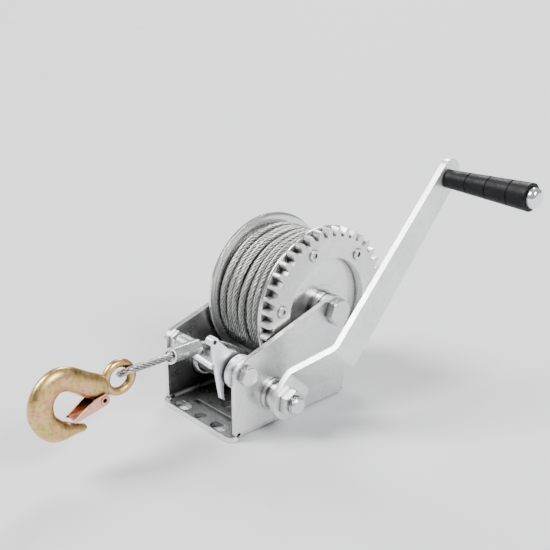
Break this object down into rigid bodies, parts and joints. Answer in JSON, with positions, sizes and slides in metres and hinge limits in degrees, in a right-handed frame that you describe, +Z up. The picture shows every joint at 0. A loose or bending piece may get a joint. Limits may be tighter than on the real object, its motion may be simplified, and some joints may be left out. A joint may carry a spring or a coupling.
{
  "type": "trailer winch",
  "caption": "Hand-cranked boat trailer winch: bent steel bracket, geared rope drum, two-way pawl, cranked arm with grip, and a wire rope ending in a snap hook.",
  "frame": {"origin": "centre of the base's four-slot bolt pattern, on the bottom face of the base plate", "axes": "+X along the drum axis toward the crank, -Y toward the hook, +Z up"},
  "size_m": [0.2065, 0.2998, 0.176],
  "materials": {
    "zinc_plate": "bright zinc plate, satin, faint bluish cast",
    "zinc_fastener": "bright zinc plated bolt and nut surfaces",
    "zinc_drum": "pressed steel, bright zinc plate with spun marks",
    "zinc_gear": "stamped steel gear, bright zinc plate, faintly hammered edge",
    "turned_steel": "turned steel, zinc plated",
    "wire_rope": "stranded galvanised wire rope",
    "black_grip": "matt black moulded plastic",
    "chrome_bolt": "polished domed bolt head",
    "aluminium_sleeve": "pressed aluminium sleeve",
    "yellow_zinc": "forged steel, yellow passivated zinc with faint pink and green patches",
    "latch_zinc": "folded sheet, yellow passivated zinc",
    "spring_steel": "bare spring wire"
  },
  "bodies": {
    "bracket": {"frame": "zinc_plate", "drum_bolt": "zinc_fastener", "drum_washers": "zinc_fastener", "drum_nut": "zinc_fastener", "drum_axle_tube": "turned_steel", "shaft_bushes": "turned_steel", "pawl_bolt": "zinc_fastener", "pawl_nut": "zinc_fastener", "rope_guide_tube": "turned_steel", "pawl_disc": "zinc_plate", "pawl_spring": "spring_steel", "rope_free": "wire_rope", "ferrule": "aluminium_sleeve"},
    "drum": {"drum_core": "zinc_drum", "drum_bushes": "turned_steel", "near_flange": "zinc_drum", "far_flange": "zinc_drum", "drum_gear": "zinc_gear", "gear_rivets": "zinc_fastener", "rope_clamp": "zinc_drum", "rope_wound": "wire_rope"},
    "crank": {"pinion_shaft": "turned_steel", "pinion": "zinc_gear", "shaft_clip": "zinc_fastener", "crank_spacer": "turned_steel", "crank_arm": "zinc_plate", "crank_nut": "zinc_fastener", "grip_bolt": "chrome_bolt", "grip_nut": "zinc_fastener"},
    "grip_sleeve": {"grip": "black_grip"},
    "pawl_lever": {"pawl": "zinc_plate", "pawl_tab": "zinc_plate", "pawl_pin": "zinc_fastener"},
    "snap_hook": {"hook": "yellow_zinc", "latch_rivet": "latch_zinc", "latch_spring": "spring_steel"},
    "hook_latch": {"latch": "latch_zinc"}
  },
  "joints": [
    {"name": "drum_spin", "type": "hinge", "parent": "bracket", "child": "drum", "pos_m": [0, 0.044, 0.0708], "axis": [1, 0, 0], "continuous": true},
    {"name": "crank_spin", "type": "hinge", "parent": "bracket", "child": "crank", "pos_m": [0, -0.015, 0.0258], "axis": [1, 0, 0], "continuous": true},
    {"name": "grip_spin", "type": "hinge", "parent": "crank", "child": "grip_sleeve", "pos_m": [0.113, 0.11206, 0.16301], "axis": [1, 0, 0], "continuous": true},
    {"name": "pawl_flip", "type": "hinge", "parent": "bracket", "child": "pawl_lever", "pos_m": [0.029, -0.0395, 0.048], "axis": [1, 0, 0], "range_deg": [-12, 12]},
    {"name": "hook_swing", "type": "hinge", "parent": "bracket", "child": "snap_hook", "pos_m": [-0.002, -0.1105, 0.0549], "axis": [1, 0, 0], "range_deg": [-60, 38]},
    {"name": "hook_latch", "type": "hinge", "parent": "snap_hook", "child": "hook_latch", "pos_m": [-0.002, -0.125, 0.0454], "axis": [1, 0, 0], "range_deg": [-24, 0], "stiffness_Nm_per_rad": 0.05, "springref_deg": 17.19}
  ],
  "couplings": [
    {"joint": "crank_spin", "follows": "drum_spin", "ratio": -3.0769}
  ]
}
